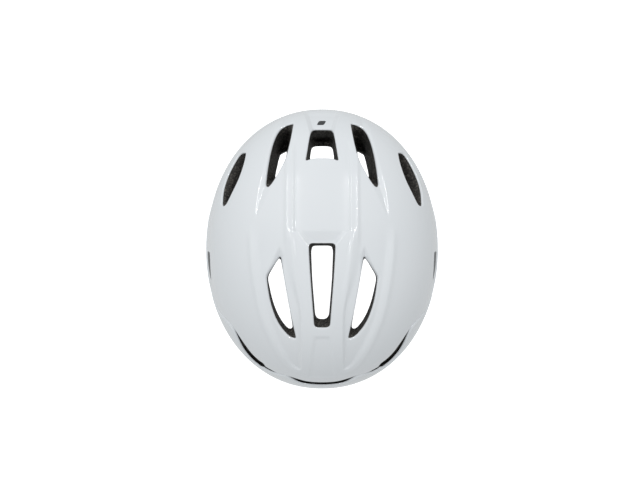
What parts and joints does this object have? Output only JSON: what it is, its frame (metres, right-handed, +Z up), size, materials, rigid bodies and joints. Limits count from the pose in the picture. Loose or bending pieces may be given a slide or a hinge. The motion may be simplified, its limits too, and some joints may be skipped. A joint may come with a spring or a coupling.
{
  "type": "cycling helmet",
  "caption": "Vented road cycling helmet: moulded shell over a foam liner, comfort pads, dial-adjusted headband and cradle, side straps with cam dividers and a buckled chin strap.",
  "frame": {"origin": "where the crown of the wearer's head meets the crown pads' side of the cavity, on the mid plane", "axes": "+Z up through the crown, -Y towards the wearer's face, +X to the wearer's left"},
  "size_m": [0.229, 0.278, 0.2754],
  "materials": {
    "shell": "gloss white polycarbonate",
    "foam": "black expanded polystyrene with visible beads",
    "pad": "black brushed knit over soft foam",
    "hook": "black hook tape",
    "nylon": "black satin nylon",
    "rubber": "soft black rubber",
    "steel": "bright spring steel and nickel plate",
    "webbing": "black woven polyester webbing",
    "buckle": "black textured acetal"
  },
  "bodies": {
    "helmet": {"upper_shell": "shell", "lower_shell": "shell", "foam_liner": "foam", "centre_pad": "pad", "left_crown_pad": "pad", "right_crown_pad": "pad", "left_crown_patch": "hook", "right_crown_patch": "hook", "brow_pad": "pad", "cradle_guide": "nylon", "left_temple_anchor": "nylon", "right_temple_anchor": "nylon", "left_front_anchor": "nylon", "right_front_anchor": "nylon", "left_rear_anchor": "nylon", "right_rear_anchor": "nylon", "left_front_strap": "webbing", "right_front_strap": "webbing", "left_rear_strap": "webbing", "right_rear_strap": "webbing", "left_divider": "buckle", "right_divider": "buckle"},
    "swivels": {"left_band_swivel": "nylon", "right_band_swivel": "nylon"},
    "left_band": {"left_headband": "nylon"},
    "right_band": {"right_headband": "nylon"},
    "cradle": {"cradle": "nylon", "dial_housing": "nylon", "dial_cover": "nylon", "dial_click_ring": "steel", "left_occipital_pad": "pad", "right_occipital_pad": "pad"},
    "dial": {"dial_pinion": "nylon", "dial_knob": "rubber", "dial_cap": "nylon"},
    "left_lever": {"left_divider_lever": "buckle"},
    "right_lever": {"right_divider_lever": "buckle"},
    "chin": {"left_chin_strap": "webbing", "right_chin_strap": "webbing", "buckle_base": "buckle", "base_magnet": "steel", "strap_keeper": "rubber"},
    "buckle_slide": {"buckle_slider": "buckle", "slider_magnet": "steel", "chin_strap_loop": "webbing"}
  },
  "joints": [
    {"name": "fit_tilt", "type": "hinge", "parent": "helmet", "child": "swivels", "pos_m": [0, -0.05, -0.084], "axis": [1, 0, 0], "range_deg": [-4.6, 0]},
    {"name": "cradle_draw", "type": "slide", "parent": "swivels", "child": "cradle", "axis": [0, -1, 0], "range_m": [0, 0.0041]},
    {"name": "left_band_swing", "type": "hinge", "parent": "swivels", "child": "left_band", "pos_m": [0.0651, -0.0412, -0.084], "axis": [0, 0, 1], "range_deg": [0, 3.5]},
    {"name": "right_band_swing", "type": "hinge", "parent": "swivels", "child": "right_band", "pos_m": [-0.0651, -0.0412, -0.084], "axis": [0, 0, 1], "range_deg": [-3.5, 0]},
    {"name": "dial_turn", "type": "hinge", "parent": "cradle", "child": "dial", "pos_m": [0, 0.0966, -0.141], "axis": [0, -1, 0], "range_deg": [0, 143]},
    {"name": "left_lever_flip", "type": "hinge", "parent": "helmet", "child": "left_lever", "pos_m": [0.0822, -0.014, -0.1535], "axis": [0, -1, 0], "range_deg": [0, 100]},
    {"name": "right_lever_flip", "type": "hinge", "parent": "helmet", "child": "right_lever", "pos_m": [-0.0822, -0.014, -0.1535], "axis": [0, 1, 0], "range_deg": [0, 100]},
    {"name": "chin_swing", "type": "hinge", "parent": "helmet", "child": "chin", "pos_m": [0, -0.014, -0.179], "axis": [1, 0, 0], "range_deg": [-35, 35]},
    {"name": "buckle_release", "type": "slide", "parent": "chin", "child": "buckle_slide", "axis": [0, 1, 0], "range_m": [0, 0.014]}
  ],
  "couplings": [
    {"joint": "left_band_swing", "follows": "dial_turn", "ratio": 0.023599},
    {"joint": "right_band_swing", "follows": "dial_turn", "ratio": -0.022792},
    {"joint": "cradle_draw", "follows": "dial_turn", "m_per_rad": 0.0016}
  ]
}
